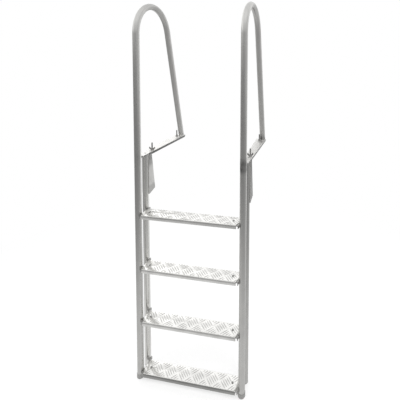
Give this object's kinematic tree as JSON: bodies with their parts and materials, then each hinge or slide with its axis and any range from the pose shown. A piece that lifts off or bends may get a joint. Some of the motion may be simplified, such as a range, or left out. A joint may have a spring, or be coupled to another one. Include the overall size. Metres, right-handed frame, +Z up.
{
  "type": "dock ladder",
  "caption": "Aluminium dock ladder with looped tubular handrails, checker plate treads between paired tubes and flat deck plates held by wing nuts.",
  "frame": {"origin": "on the flat underside of the right bearer plate, on its centre line, above the dock's edge where the standoffs bear", "axes": "+Z up, +X across the ladder to the right as seen by someone climbing it, +Y back over the dock, away from the climber"},
  "size_m": [0.6112, 0.5328, 1.9689],
  "materials": {
    "tube": "satin",
    "post": "satin",
    "plate": "satin",
    "tread": "bright checker plate",
    "bracket": "satin",
    "fastener": "bright",
    "foot": "matt"
  },
  "bodies": {
    "root": {"handrail_tube_left": "tube", "rear_post_left": "post", "deck_plate_left": "plate", "bearer_plate_left": "plate", "standoff_left": "bracket", "tube_foot_left": "foot", "post_plug_left": "foot", "post_screw_left": "fastener", "stud_front_left": "fastener", "washer_front_left": "fastener", "wing_nut_front_left": "fastener", "stud_rear_left": "fastener", "washer_rear_left": "fastener", "wing_nut_rear_left": "fastener", "tread_bracket_1_left": "bracket", "tread_bracket_2_left": "bracket", "tread_bracket_3_left": "bracket", "tread_bracket_4_left": "bracket", "handrail_tube_right": "tube", "rear_post_right": "post", "deck_plate_right": "plate", "bearer_plate_right": "plate", "standoff_right": "bracket", "tube_foot_right": "foot", "post_plug_right": "foot", "post_screw_right": "fastener", "stud_front_right": "fastener", "washer_front_right": "fastener", "wing_nut_front_right": "fastener", "stud_rear_right": "fastener", "washer_rear_right": "fastener", "wing_nut_rear_right": "fastener", "tread_bracket_1_right": "bracket", "tread_bracket_2_right": "bracket", "tread_bracket_3_right": "bracket", "tread_bracket_4_right": "bracket", "tread_1": "tread", "tread_screws_1": "fastener", "tread_2": "tread", "tread_screws_2": "fastener", "tread_3": "tread", "tread_screws_3": "fastener", "tread_4": "tread", "tread_screws_4": "fastener"}
  },
  "joints": []
}
